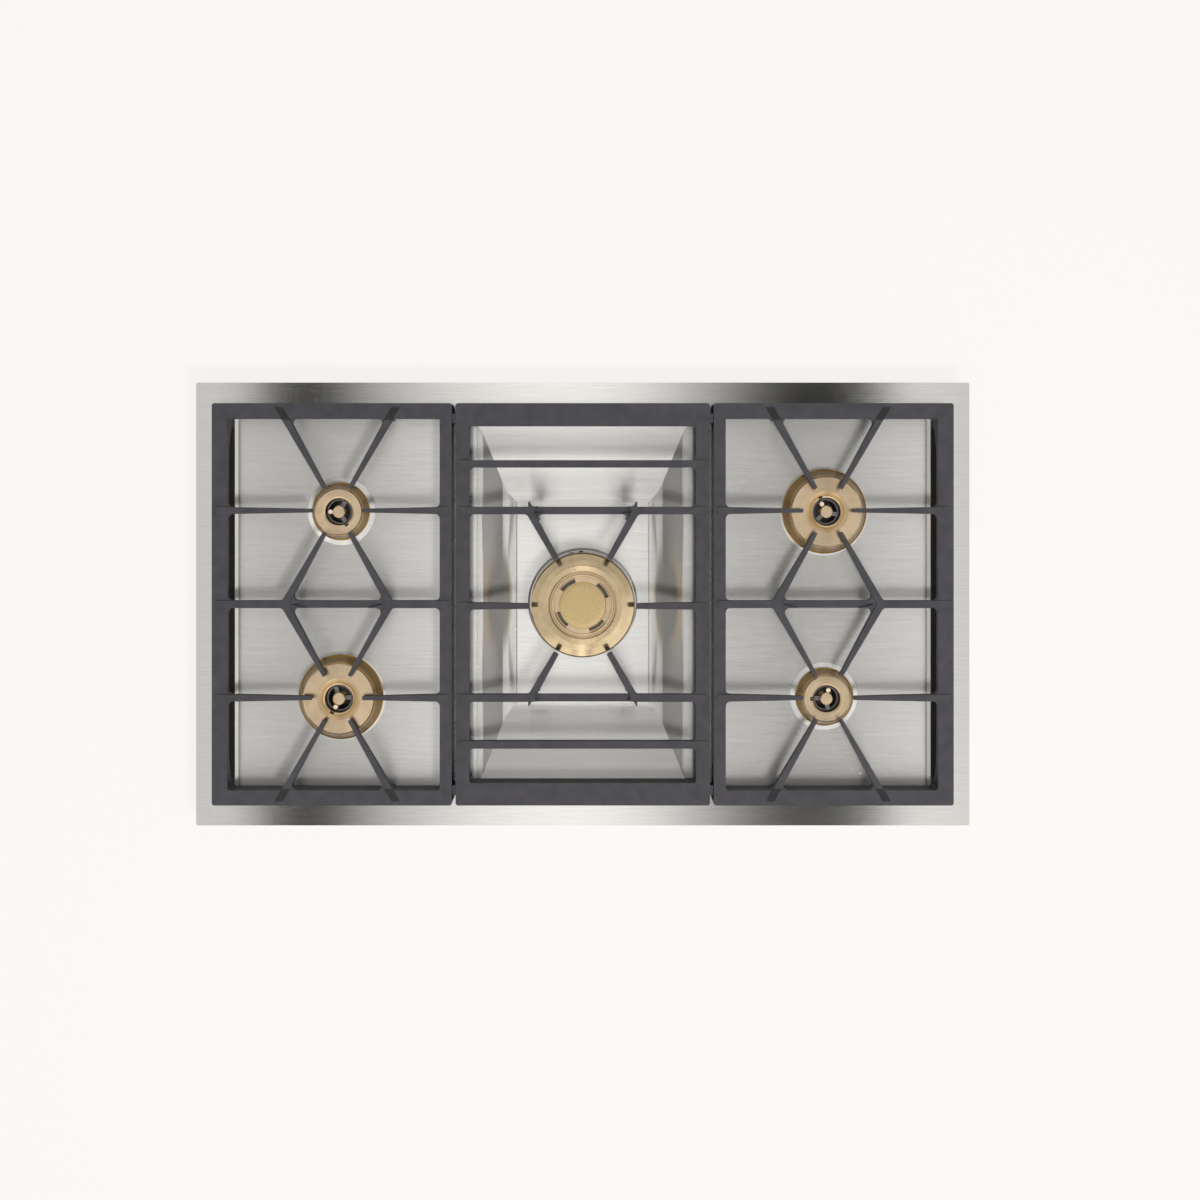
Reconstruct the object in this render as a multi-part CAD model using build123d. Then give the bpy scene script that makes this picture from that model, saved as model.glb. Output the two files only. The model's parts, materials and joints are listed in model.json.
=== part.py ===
import os
from math import cos, hypot, radians, sin, tan

from build123d import *

# Built-in gas cooktop with five brass burners under three cast iron pan supports.
# X runs to the right, Y to the rear, Z up. The worktop's top surface is z = 0 and the
# plate is centred on the origin.

# --- plate ---------------------------------------------------------------------------
plate_width = 908.0
plate_depth = 520.0
plate_corner = 2.5
sheet = 1.5
rim_height = 4.0
rim_side = 45.5
rim_end = 38.0
recess_depth = 6.0
recess_slope = 30.0
recess_corner = 6.0

# --- centre trough -------------------------------------------------------------------
trough_top_x = 121.0
trough_margin = 13.0
trough_floor_x = 87.0
trough_floor_y = 123.0
trough_depth = 24.0
trough_shoulder = 14.0
trough_foot = 30.0

# --- burners -------------------------------------------------------------------------
burner_x = 283.5
burner_y = 108.7
burner_rise = 26.0
collar_height = 5.0
head_gap = 0.3
spigot_gap = 0.05
spigot_depth = 6.0
bore_notch = 4.5
port_width = 1.6
port_height = 4.0
head_wall = 2.6
head_roof = 6.0
cup_wall = 3.0
cup_depth = 26.0
cup_flange = 7.0
cup_flange_thick = 3.0
wok_cup_depth = 16.0
boss_radius = 8.0
boss_width = 7.0
jet_radius = 3.2
stud_radius = 7.0
arm_width = 5.0
electrode_radius = 2.6
pin_radius = 0.9
probe_radius = 1.9

# --- pan supports --------------------------------------------------------------------
grate_depth = 465.0
grate_shift = 2.0
grate_rise = 40.0
grate_gap = 4.3
side_grate_width = 277.4
centre_grate_width = 294.0
side_outer_bar = 18.0
side_inner_bar = 14.0
side_end_bar = 17.5
centre_side_bar = 16.0
centre_end_bar = 26.0
bar_draft = 6.0
outer_corner = 3.0
inner_corner = 2.5
rib_root = 8.6
rib_tip = 4.4
rib_proud = 1.8
rib_depth = 13.0
root_round = 4.5
finger_depth = 8.0
finger_slope = 60.0
finger_radius = 29.2
wok_finger_radius = 62.2
wok_rib_tip = 6.4
tip_round = 1.9
finger_x = 283.8
finger_y = 108.3
cross_rib_out = 54.0
finger_angle = 60.6
low_rib_drop = 3.5
rib_setback = 4.5
ramp_length = 15.0
arch_leg = 26.0
arch_run = 42.0
arch_bar_depth = 12.0
lug_inset = 17.5
lug_length = 11.0
lug_clearance = 0.6
pad_radius = 3.5
pad_height = 2.0
pad_stem = 1.6
pad_stem_length = 6.0
pad_inset_x = 8.0
pad_inset_y = 4.5

# --- housing under the plate ---------------------------------------------------------
tray_height = 58.0
tray_inset = 10.0
tray_sheet = 1.0
tray_flange = 7.0
tray_stud_out = 4.3
tray_corner = 4.0
stud_m4 = 2.0
nut_flats = 7.0
nut_thick = 3.2
stud_length = 8.0
pipe_radius = 4.0
pipe_bore = 3.0
pipe_bend = 24.0
pipe_rise = 13.0
pipe_rear_x = 104.0
pipe_front_x = 138.0
union_flats = 13.0
union_length = 9.0
union_gap = 0.05
bead_radius = 5.2
bead_length = 1.6
spigot_length = 9.0
seal_width = 12.0
seal_edge = 8.0
clamp_x = 300.0
clamp_width = 30.0
clamp_sheet = 2.0
clamp_leaf = 18.0
clamp_reach = 34.0
clamp_hole_inset = 8.0
clamp_drop = 36.0
clamp_screw = 2.5
clamp_screw_length = 24.0
module_x = -190.0
module_y = 160.0
module_size = (92.0, 50.0, 24.0)
gland_x = -250.0
gland_radius = 9.0
gland_bore = 3.6

# --- levels and outlines that follow from the sizes above -----------------------------
floor_z = rim_height - recess_depth
trough_z = floor_z - trough_depth
brass_z = rim_height + burner_rise
grate_top = rim_height + grate_rise
grate_foot = rim_height + pad_height
recess_half_x = plate_width / 2 - rim_side
recess_half_y = plate_depth / 2 - rim_end
trough_top_y = recess_half_y - trough_margin
pan_x = recess_half_x + sheet
pan_y = recess_half_y + sheet
tray_x = pan_x - tray_inset
tray_y = pan_y - tray_inset
tray_top = floor_z - sheet
tray_bottom = tray_top - tray_height
centre_half = centre_grate_width / 2
side_inner_x = centre_half + grate_gap
side_outer_x = side_inner_x + side_grate_width
cross_rib_y = finger_y + cross_rib_out
lug_y = grate_depth / 2 - lug_inset
pipe_z = tray_bottom + pipe_rise
boss_bottom = pipe_z - pipe_radius - 2.0
union_face = tray_y + union_length
pipe_end = union_face + bead_length + spigot_length
clamp_top = tray_top - clamp_drop
clamp_bolt_z = clamp_top - clamp_leaf / 2

SMALL = {"collar": 40.2, "base": 34.0, "top": 27.3, "bore": 15.3, "dish": 0.0}
LARGE = {"collar": 52.0, "base": 49.7, "top": 41.5, "bore": 15.8, "dish": 24.0}

# place, size, angle of the bore's notch, angle of the thin slit, angles of the arms
BURNERS = {
    "left_rear": (-burner_x, burner_y, SMALL, 301, None, (180, 60, 300)),
    "left_front": (-burner_x, -burner_y, LARGE, 244, 0, (247, 5, 108)),
    "right_rear": (burner_x, burner_y, LARGE, 114, 233, (120, 222, 345)),
    "right_front": (burner_x, -burner_y, SMALL, 180, None, (77, 180, 280)),
}

# wok burner: radii of the rings from the outside in, and the level its cup reaches
wok_lip = 65.0
wok_lip_top = 62.6
wok_outer = 60.9
wok_groove_out = 38.8
wok_inner_out = 36.4
wok_inner_face = 33.0
wok_cap = 27.0
wok_ring_gap = 0.3
wok_deck_drop = 2.6
wok_groove_depth = 5.0
wok_inner_wall = 1.6
wok_slot_radius = 30.3
wok_slot_width = 5.6
wok_slot_arc = 38.0
wok_slot_depth = 8.0
wok_throat = 9.0
wok_throat_wall = 2.0
wok_tube_rise = 4.0
wok_slots = (36, 126, 214, 304)
wok_hole_angle = 103.0
wok_cup_z = brass_z - 17.0
wok_deck = brass_z - wok_deck_drop
wok_tube_z = wok_cup_z + head_gap + wok_tube_rise
wok_flare = wok_inner_face - wok_inner_wall - wok_ring_gap
wok_spigot = wok_outer - 8.0
wok_light_angle = 103.0
wok_probe_angle = 92.0
wok_light_radius = wok_spigot + cup_wall + electrode_radius + 0.4


# direction in which turned pieces start, clear of their arms, ports and sockets
seam_turn = 23.0


def polar(radius, angle):
    return (radius * cos(radians(angle)), radius * sin(radians(angle)))


def turned(points):
    """Solid of revolution about Z from (radius, height) points."""
    outline = Polyline(*[(r, 0, z) for r, z in points], close=True)
    return revolve(Rot(0, 0, seam_turn) * make_face(outline), Axis.Z, 360)


def slab(width, depth, low, high, corner=0.0, taper=0.0):
    """Upright block about the Z axis, from its upper outline down."""
    outline = RectangleRounded(width, depth, corner) if corner else Rectangle(width, depth)
    return extrude(Plane.XY.offset(high) * outline, -(high - low), taper=taper)


def disc(radius, low, high):
    return Pos(0, 0, low) * Cylinder(
        radius, high - low, align=(Align.CENTER, Align.CENTER, Align.MIN)
    )


def brick(length, width, low, high):
    """Block that starts at the Z axis and runs out along X."""
    return Pos(0, 0, low) * Box(
        length, width, high - low, align=(Align.MIN, Align.CENTER, Align.MIN)
    )


def write(name, *solids):
    shape = solids[0] if len(solids) == 1 else Compound(children=list(solids))
    shape.label = name
    export_step(shape, "parts/" + name + ".step")


# --- the pressed plate -----------------------------------------------------------------


def trough_section(half_top, half_floor, reach, drop):
    """Face across the trough: sloping sides with a rounded shoulder and foot."""
    top = floor_z - drop
    low = trough_z - drop
    points = [
        (-reach, top),
        (-half_top, top),
        (-half_floor, low),
        (half_floor, low),
        (half_top, top),
        (reach, top),
        (reach, top + recess_depth / 3),
        (-reach, top + recess_depth / 3),
    ]
    face = make_face(Polyline(*points, close=True))
    corners = face.vertices()
    shoulders = [v for v in corners if abs(abs(v.X) - half_top) < 0.01]
    feet = [v for v in corners if abs(abs(v.X) - half_floor) < 0.01]
    face = fillet(shoulders, trough_shoulder)
    corners = face.vertices()
    feet = [v for v in corners if abs(v.Y - low) < 0.01]
    return fillet(feet, trough_foot)


def trough_body(drop):
    """Space of the trough, or its outer skin when it is dropped by the sheet."""
    reach_x = trough_top_x + trough_shoulder
    reach_y = min(trough_top_y + trough_shoulder / 3, recess_half_y - 4)
    across = Plane.XZ * trough_section(trough_top_x, trough_floor_x, reach_x, drop)
    along = Plane.YZ * trough_section(trough_top_y, trough_floor_y, reach_y, drop)
    prism_x = extrude(across, reach_y, both=True)
    prism_y = extrude(along, reach_x, both=True)
    return prism_x & prism_y


def collar(base, top, low, height):
    """Cone pressed up round a burner, as solid metal."""
    return turned([(0, low), (base, low), (top, low + height), (0, low + height)])


def collar_void(base, top, low, height, opening):
    return turned(
        [
            (0, low - 2 * sheet),
            (base - sheet, low - 2 * sheet),
            (base - sheet, low - sheet),
            (top - sheet, low + height - sheet),
            (opening, low + height - sheet),
            (opening, low + height + 1),
            (0, low + height + 1),
        ]
    )


def top_plate():
    body = slab(plate_width, plate_depth, 0, rim_height, plate_corner)
    inside = slab(
        plate_width - 2 * sheet, plate_depth - 2 * sheet, -1, rim_height - sheet, 1.0
    )
    body -= inside
    pan_skin = rim_height - 0.2
    body += slab(
        2 * pan_x, 2 * pan_y, floor_z - sheet, pan_skin, recess_corner, recess_slope / 2
    )
    body += trough_body(sheet)
    body -= slab(
        2 * recess_half_x, 2 * recess_half_y, floor_z, rim_height, recess_corner, recess_slope
    )
    body -= trough_body(0)
    for x, y, size, _, _, _ in BURNERS.values():
        body += Pos(x, y, 0) * collar(size["collar"], size["base"] + 0.5, floor_z, collar_height)
        void = collar_void(
            size["collar"], size["base"] + 0.5, floor_z, collar_height, size["base"] - 2.5
        )
        body -= Pos(x, y, 0) * void
    opening = wok_spigot + spigot_gap + cup_wall + 0.3
    body += collar(wok_lip, wok_lip_top, trough_z, collar_height)
    body -= collar_void(wok_lip, wok_lip_top, trough_z, collar_height, opening)
    for angle in (wok_light_angle, wok_probe_angle):
        x, y = polar(wok_light_radius, angle)
        body -= Pos(x, y, 0) * disc(electrode_radius + 0.4, trough_z, trough_z + 9)
    for x, y, z in stud_places():
        body += Pos(x, y, 0) * disc(stud_m4, z - stud_length, z + sheet / 2)
    return body


def cup_studs(size_collar):
    """Places of the three studs that hold a cup, from its centre."""
    return [polar(size_collar + cup_flange / 2, 30 + 120 * n) for n in range(3)]


def stud_places():
    """Every welded stud under the plate: place and the level of the sheet there."""
    places = []
    for x, y, size, _, _, _ in BURNERS.values():
        for dx, dy in cup_studs(size["collar"]):
            places.append((x + dx, y + dy, floor_z - sheet))
    for dx, dy in cup_studs(wok_lip):
        places.append((dx, dy, trough_z - sheet))
    for x, y in tray_studs():
        places.append((x, y, tray_top))
    return places


def tray_studs():
    """Places of the studs that hold the tray's flange."""
    out_x = tray_x + tray_stud_out
    out_y = tray_y + tray_stud_out
    places = []
    for x in (-tray_x * 0.85, -tray_x * 0.28, tray_x * 0.28, tray_x * 0.85):
        places += [(x, -out_y), (x, out_y)]
    for y in (-tray_y * 0.5, tray_y * 0.5):
        places += [(-out_x, y), (out_x, y)]
    return places


# --- the four outer burners --------------------------------------------------------------


def burner_head(size, notch, slit):
    """Brass ring: tapered flank with flame ports, open bore and a hollow under its roof."""
    low = floor_z + collar_height + head_gap
    base, top, bore = size["base"], size["top"], size["bore"]
    spigot = base - 7.0
    edge = 1.2
    points = [
        (bore, low),
        (bore, brass_z - 3.5),
        (bore + 0.6, brass_z - 1.4),
        (bore + 2.4, brass_z - 0.3),
    ]
    if size["dish"]:
        points += [
            (bore + 2.4, brass_z - 1.8),
            (size["dish"], brass_z - 0.9),
            (size["dish"] + 0.4, brass_z - 0.1),
        ]
    points += [
        (top - edge, brass_z),
        (top, brass_z - edge),
        (base - 1.2, low + 3.2),
        (base, low + 2.6),
        (base, low),
        (spigot, low),
        (spigot, low - spigot_depth),
        (spigot - head_wall, low - spigot_depth),
        (spigot - head_wall, brass_z - head_roof - 4),
        (spigot - head_wall - 3, brass_z - head_roof),
        (bore + head_wall, brass_z - head_roof),
        (bore + head_wall, low),
    ]
    head = turned(points)
    count = int(round(base * 0.8))
    port = Pos(spigot - head_wall - 2, 0, low + 5) * Box(
        20, port_width, port_height, align=(Align.MIN, Align.CENTER, Align.MIN)
    )
    for n in range(count):
        head -= Rot(0, 0, 360 / count * (n + 0.5)) * port
    lump = Pos(bore + 0.5, 0, 0) * brick(6.5, boss_width + 1, low, brass_z - head_roof + 0.5)
    head += Rot(0, 0, notch) * lump
    groove = Pos(bore - 3, 0, 0) * brick(6.7, bore_notch, low - 1, brass_z + 1)
    head -= Rot(0, 0, notch) * groove
    if slit is not None:
        cut = Pos(bore - 1, 0, 0) * brick(top - bore - 1, 0.5, brass_z - 1.2, brass_z + 1)
        head -= Rot(0, 0, slit) * cut
    return head


def burner_cup(size, notch, arms, pipe_side):
    """Cast cup under the plate with its hub on three arms inside the bore."""
    rest = floor_z + collar_height + head_gap
    mouth = size["base"] - 7.0 + spigot_gap
    outer = mouth + cup_wall
    bottom = floor_z - cup_depth
    under = floor_z - sheet
    flange = size["collar"] + cup_flange
    tube = size["bore"] - 0.5
    column = brass_z - 12.0
    body = turned(
        [
            (0, boss_bottom),
            (boss_radius - 1, boss_bottom),
            (boss_radius, boss_bottom + 1),
            (boss_radius, bottom),
            (outer - 4, bottom),
            (outer, bottom + 5),
            (outer, under - cup_flange_thick),
            (flange, under - cup_flange_thick),
            (flange, under),
            (outer, under),
            (outer, rest - 1.0),
            (mouth, rest - 1.0),
            (mouth, bottom + 7),
            (mouth - 4, bottom + 3),
            (tube, bottom + 3),
            (tube, column),
            (tube - 2, column),
            (tube - 2, bottom + 3),
            (jet_radius, bottom + 3),
            (jet_radius, pipe_z),
            (0, pipe_z),
        ]
    )
    hub_low = brass_z - 20
    body += turned(
        [
            (0, hub_low),
            (5, hub_low),
            (6, brass_z - 7),
            (2, brass_z - 7),
            (2, brass_z - 12),
            (0, brass_z - 12),
        ]
    )
    for angle in arms:
        arm = Pos(4, 0, 0) * brick(tube - 5, arm_width, hub_low, brass_z - 8)
        body += Rot(0, 0, angle) * arm
    seat = Pos(electrode_place(size), 0, 0) * disc(electrode_radius + 0.05, bottom - 1, brass_z)
    body -= Rot(0, 0, arms[0]) * seat
    lump = Pos(tube - 1, 0, 0) * brick(6.5, boss_width, bottom + 2, rest - 1.0)
    body += Rot(0, 0, notch) * lump
    hole = Pos(probe_place(size), 0, 0) * disc(probe_radius + 0.05, bottom - 1, brass_z)
    body -= Rot(0, 0, notch) * hole
    for dx, dy in cup_studs(size["collar"]):
        body -= Pos(dx, dy, 0) * disc(stud_m4 + 0.25, under - cup_flange_thick - 1, under + 1)
    socket = Rot(0, 90, 0) * Pos(0, 0, jet_radius) * Cylinder(
        pipe_radius, boss_radius, align=(Align.CENTER, Align.CENTER, Align.MIN)
    )
    channel = Rot(0, 90, 0) * Cylinder(
        pipe_bore, boss_radius, align=(Align.CENTER, Align.CENTER, Align.MIN)
    )
    body -= Pos(0, 0, pipe_z) * Rot(0, 0, pipe_side) * (socket + channel)
    return body


def electrode_place(size):
    """Distance of the spark electrode from the burner's axis."""
    return size["bore"] - 5.4


def probe_place(size):
    """Distance of the flame probe from the burner's axis, in the middle of the notch."""
    return size["bore"] + 1.2


def flame_probe(low, high):
    """Steel probe of the flame failure device with a stepped tip."""
    return turned(
        [
            (0, low),
            (probe_radius, low),
            (probe_radius, high - 5),
            (probe_radius - 0.5, high - 4.4),
            (probe_radius - 0.5, high - 0.6),
            (probe_radius - 1.0, high),
            (0, high),
        ]
    )


def gas_jet(low, high):
    """Brass jet with a hexagon head, screwed into the foot of a cup."""
    head = extrude(Plane.XY.offset(high) * RegularPolygon(4.2, 6), 3)
    jet = disc(jet_radius, low, high) + head
    jet -= disc(0.6, low - 1, high + 4)
    return jet


def burner_stud():
    """Turned brass button whose stem stands in the hub."""
    return turned(
        [
            (0, brass_z - 11.5),
            (1.9, brass_z - 11.5),
            (1.9, brass_z - 7),
            (stud_radius - 1.5, brass_z - 7),
            (stud_radius, brass_z - 5),
            (stud_radius, brass_z - 1.0),
            (stud_radius - 0.8, brass_z - 0.4),
            (0, brass_z - 0.2),
        ]
    )


def electrode(low, high):
    """Ceramic sleeve round a steel spark pin."""
    sleeve = turned(
        [
            (pin_radius, low),
            (electrode_radius, low),
            (electrode_radius, high - 0.6),
            (electrode_radius - 0.6, high),
            (pin_radius, high),
        ]
    )
    pin = disc(pin_radius - 0.01, low - 6, high - 0.8)
    return sleeve, pin


# --- shapes shared by the pan supports ---------------------------------------------------


def bar_between(start, end, width_start, width_end):
    """Plan of a straight tapered rib."""
    line = Vector(*end) - Vector(*start)
    side = Vector(-line.Y, line.X).normalized()
    a = Vector(*start)
    b = Vector(*end)
    corners = [
        a + side * width_start / 2,
        b + side * width_end / 2,
        b - side * width_end / 2,
        a - side * width_start / 2,
    ]
    return make_face(Polyline(*[(v.X, v.Y) for v in corners], close=True))


def finger(centre, angle, length, radius, root=rib_root, tip=rib_tip):
    """Finger plan that runs outwards from its tip circle."""
    near = polar(radius, angle)
    far = polar(length, angle)
    return Pos(centre[0], centre[1]) * bar_between(near, far, tip, root)


def joined(faces):
    plan = faces[0]
    for face in faces[1:]:
        plan = plan + face
    return plan


def box_at(lows, highs):
    size = [h - l for l, h in zip(lows, highs)]
    middle = [(h + l) / 2 for l, h in zip(lows, highs)]
    return Pos(*middle) * Box(*size)


def arch_cutter(x_low, x_high):
    """Curved opening under a side bar, from leg to leg."""
    half = grate_depth / 2 - arch_leg
    crown = grate_top - arch_bar_depth
    spring = half - arch_run
    # each haunch rises steeply beside its leg and then runs out under the bar
    haunch_y = half - 0.25 * arch_run
    haunch_z = grate_foot + 0.62 * (crown - grate_foot)
    front = [(-half, grate_foot), (-haunch_y, haunch_z), (-spring, crown)]
    rear = [(spring, crown), (haunch_y, haunch_z), (half, grate_foot)]
    path = [
        Line((-half, grate_foot - 1), (-half, grate_foot)),
        Spline(*front, tangents=[(0, 1), (1, 0)]),
        Line((-spring, crown), (spring, crown)),
        Spline(*rear, tangents=[(1, 0), (0, -1)]),
        Line((half, grate_foot), (half, grate_foot - 1)),
        Line((half, grate_foot - 1), (-half, grate_foot - 1)),
    ]
    face = Plane.YZ * make_face(path)
    return Pos(x_low, 0, 0) * extrude(face, x_high - x_low)


def pad_places(x_low, x_high):
    """Places of the four pads, about the support's own centre line in Y."""
    out_y = grate_depth / 2 - pad_inset_y
    return [(x, y) for x in (x_low + pad_inset_x, x_high - pad_inset_x) for y in (-out_y, out_y)]


def pad():
    """Rubber disc on the rim with a stem up into its leg."""
    stem = disc(pad_stem, grate_foot, grate_foot + pad_stem_length)
    return disc(pad_radius, rim_height, grate_foot) + stem


def stem_holes(x_low, x_high):
    hole = disc(pad_stem + 0.1, grate_foot - 1, grate_foot + pad_stem_length + 0.3)
    return [Pos(x, y, 0) * hole for x, y in pad_places(x_low, x_high)]


def softened(face, tips, corner_x, corner_y):
    """Pane between ribs with its corners rounded: small at fingertips, large at rib roots.

    tips: fingertip circles as (x, y, radius). corner_x, corner_y: where the frame's own
    corners lie, which are round already.
    """

    def at_tip(v):
        return any(hypot(v.X - x, v.Y - y) < radius + 6 for x, y, radius in tips)

    def at_frame(v):
        near_x = min(abs(v.X - x) for x in corner_x) < inner_corner + 0.1
        near_y = min(abs(v.Y - y) for y in corner_y) < inner_corner + 0.1
        return near_x and near_y

    roots = [v for v in face.vertices() if not at_tip(v) and not at_frame(v)]
    if roots:
        face = fillet(roots, root_round)
    ends = [v for v in face.vertices() if at_tip(v)]
    return fillet(ends, tip_round) if ends else face


def grate_body(x_low, x_high, bars, ribs, tops, tips):
    """Cast frame with its ribs, about its own centre line in Y.

    bars: widths of the left, right and end bars. ribs: plan faces of all ribs.
    tops: plan faces of the ribs' proud tops. tips: fingertip circles as (x, y, radius).
    """
    left, right, end = bars
    middle = (x_low + x_high) / 2
    pane_x = (x_low + left + x_high - right) / 2
    pane_w = x_high - x_low - left - right
    pane_h = grate_depth - 2 * end
    outline = Pos(middle, 0) * RectangleRounded(x_high - x_low, grate_depth, outer_corner)
    pane = Pos(pane_x, 0) * RectangleRounded(pane_w, pane_h, inner_corner)
    frame = extrude(Plane.XY.offset(grate_top) * outline, -(grate_top - grate_foot))
    # the panes between the ribs go right through
    corner_x = (pane_x - pane_w / 2, pane_x + pane_w / 2)
    corner_y = (-pane_h / 2, pane_h / 2)
    for face in (pane - joined(ribs)).faces():
        if face.area > 4:
            opening = Plane.XY.offset(grate_foot - 1) * softened(face, tips, corner_x, corner_y)
            frame -= extrude(opening, grate_top - grate_foot + 2)
    # space under the ribs, narrower at its foot because the bars are drafted
    hollow = slab(pane_w, pane_h, grate_foot, grate_top - rib_depth, inner_corner, bar_draft)
    frame -= Pos(pane_x, 0, 0) * hollow
    frame -= arch_cutter(x_low - 1, x_low + left + 8)
    frame -= arch_cutter(x_high - right - 8, x_high + 1)
    frame += extrude(Plane.XY.offset(grate_top - 2) * joined(tops), 2 + rib_proud)
    for x, y, radius in tips:
        frame -= finger_relief(x, y, radius)
    for hole in stem_holes(x_low, x_high):
        frame -= hole
    return frame


def ramp_wedge(x, sign):
    """Wedge that slopes a rib's end down to the bar it lies on."""
    outer = grate_depth / 2 - rib_setback
    inner = outer - ramp_length
    profile = Polyline(
        (sign * (outer + 2), grate_top),
        (sign * outer, grate_top),
        (sign * inner, grate_top + rib_proud),
        (sign * inner, grate_top + rib_proud + 2),
        (sign * (outer + 2), grate_top + rib_proud + 2),
        close=True,
    )
    face = Plane.YZ * make_face(profile)
    return Pos(x - 16, 0, 0) * extrude(face, 32)


def finger_relief(x, y, radius):
    """Cone that lifts the underside of the fingers towards their tips."""
    low = grate_top - rib_depth
    high = grate_top - finger_depth
    far = radius + finger_slope
    cone = turned([(0, low - 1), (far, low - 1), (far, low), (radius, high), (0, high)])
    return Pos(x, y, 0) * cone


def side_grate(side):
    """Pan support over two burners. side is -1 for the left one, 1 for the right one."""
    low = side_inner_x
    high = side_outer_x
    outer_end = high - rib_setback
    inner_end = low + rib_setback
    end_y = grate_depth / 2 - rib_setback
    outward = (end_y - finger_y) / sin(radians(finger_angle))
    inward = finger_y / sin(radians(finger_angle))
    junction = finger_y / tan(radians(finger_angle))
    fingers = []
    ramps = []
    for sign in (-1, 1):
        centre = (finger_x, sign * finger_y)
        fingers.append(finger(centre, 0, outer_end - finger_x, finger_radius))
        fingers.append(finger(centre, 180, finger_x - inner_end, finger_radius))
        for angle in (finger_angle, 180 - finger_angle):
            fingers.append(finger(centre, sign * angle, outward + 4, finger_radius))
            fingers.append(finger(centre, -sign * angle, inward, finger_radius))
            ramps.append(ramp_wedge(finger_x + outward * cos(radians(angle)), sign))
    middle_rib = bar_between((inner_end, 0), (outer_end, 0), rib_root, rib_root)
    tops = list(fingers)
    for start, end in ((inner_end, finger_x - junction), (finger_x + junction, outer_end)):
        tops.append(bar_between((start, 0), (end, 0), rib_root, rib_root))
    limit = Pos((low + high) / 2, 0) * Rectangle(high - low - 2 * rib_setback, 2 * end_y)
    tops = [face & limit for face in tops]
    bars = (side_inner_bar, side_outer_bar, side_end_bar)
    tips = [(finger_x, sign * finger_y, finger_radius) for sign in (-1, 1)]
    body = grate_body(low, high, bars, fingers + [middle_rib], tops, tips)
    for ramp in ramps:
        body -= ramp
    body -= low_stretch(junction)
    body = Pos(0, grate_shift, 0) * body
    if side < 0:
        body = mirror(body, Plane.YZ)
    return body


def low_stretch(junction):
    """Cut that lowers the middle rib between the two places where the diagonals meet it."""
    points = [
        (finger_x - junction + 8, 0),
        (finger_x, finger_y * 0.12),
        (finger_x + junction - 8, 0),
        (finger_x, -finger_y * 0.12),
    ]
    diamond = make_face(Polyline(*points, close=True))
    low = grate_top - low_rib_drop
    return extrude(Plane.XY.offset(low) * diamond, low_rib_drop + rib_proud + 1)


def centre_grate():
    """Pan support over the wok burner, its fingers aimed at the burner's centre."""
    end = centre_half - rib_setback
    hub = (0, -grate_shift)
    junction = finger_y / tan(radians(finger_angle))
    ribs = []
    tops = []
    for sign in (-1, 1):
        y = sign * cross_rib_y
        cross_rib = bar_between((-end, y), (end, y), rib_root, rib_root)
        y = sign * finger_y
        ribs += [cross_rib, bar_between((-end, y), (end, y), rib_root, rib_root)]
        tops.append(cross_rib)
        tops.append(bar_between((-end, y), (-junction, y), rib_root, rib_root))
        tops.append(bar_between((junction, y), (end, y), rib_root, rib_root))
        reach = (finger_y + sign * grate_shift) / sin(radians(finger_angle))
        side = 90 - sign * 90
        arms = [finger(hub, side, end, wok_finger_radius, rib_root, wok_rib_tip)]
        for angle in (finger_angle, 180 - finger_angle):
            turn = sign * angle
            arms.append(finger(hub, turn, reach, wok_finger_radius, rib_root, wok_rib_tip))
        ribs += arms
        tops += arms
    bars = (centre_side_bar, centre_side_bar, centre_end_bar)
    tips = [(0, -grate_shift, wok_finger_radius)]
    body = grate_body(-centre_half, centre_half, bars, ribs, tops, tips)
    dip = junction - rib_root / 2 - 2
    for sign in (-1, 1):
        y = sign * finger_y
        lows = (-dip, y - rib_root, grate_top - low_rib_drop)
        highs = (dip, y + rib_root, grate_top + rib_proud + 1)
        body -= box_at(lows, highs)
    # lugs that keep the gap to the supports on either side
    lug_end = centre_half + grate_gap - lug_clearance
    for y in (-lug_y, lug_y):
        lows = (-lug_end, y - lug_length / 2, grate_foot + 8)
        highs = (lug_end, y + lug_length / 2, grate_top - 2)
        body += box_at(lows, (-centre_half + 3, highs[1], highs[2]))
        body += box_at((centre_half - 3, lows[1], lows[2]), highs)
    return Pos(0, grate_shift, 0) * body


def pads_for(x_low, x_high):
    return [Pos(x, y + grate_shift, 0) * pad() for x, y in pad_places(x_low, x_high)]


# --- wok burner ----------------------------------------------------------------------------


def wok_outer_ring():
    """Outer brass ring: gently domed face, ports round its foot and a hollow under it."""
    low = wok_cup_z + head_gap
    points = [
        (wok_groove_out, low),
        (wok_groove_out, brass_z - 1.6),
        (wok_groove_out + 1.2, brass_z - 0.4),
        (wok_groove_out + 7, brass_z),
        (wok_outer - 9, brass_z - 1.2),
        (wok_outer - 1.5, brass_z - 3.4),
        (wok_outer, brass_z - 5),
        (wok_outer, low),
        (wok_spigot, low),
        (wok_spigot, low - spigot_depth),
        (wok_spigot - head_wall, low - spigot_depth),
        (wok_spigot - head_wall, brass_z - 9),
        (wok_groove_out + head_wall, brass_z - 6),
        (wok_groove_out + head_wall, low),
    ]
    ring = turned(points)
    count = 44
    port = Pos(wok_spigot - head_wall - 2, 0, low + 3.5) * Box(
        20, port_width, port_height, align=(Align.MIN, Align.CENTER, Align.MIN)
    )
    for n in range(count):
        ring -= Rot(0, 0, 360 / count * n) * port
    for n in range(5):
        x, y = polar(wok_groove_out + 4 + 3.9 * n, wok_hole_angle)
        ring -= Pos(x, y, 0) * disc(0.55, brass_z - 12, brass_z + 1)
    return ring


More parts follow.
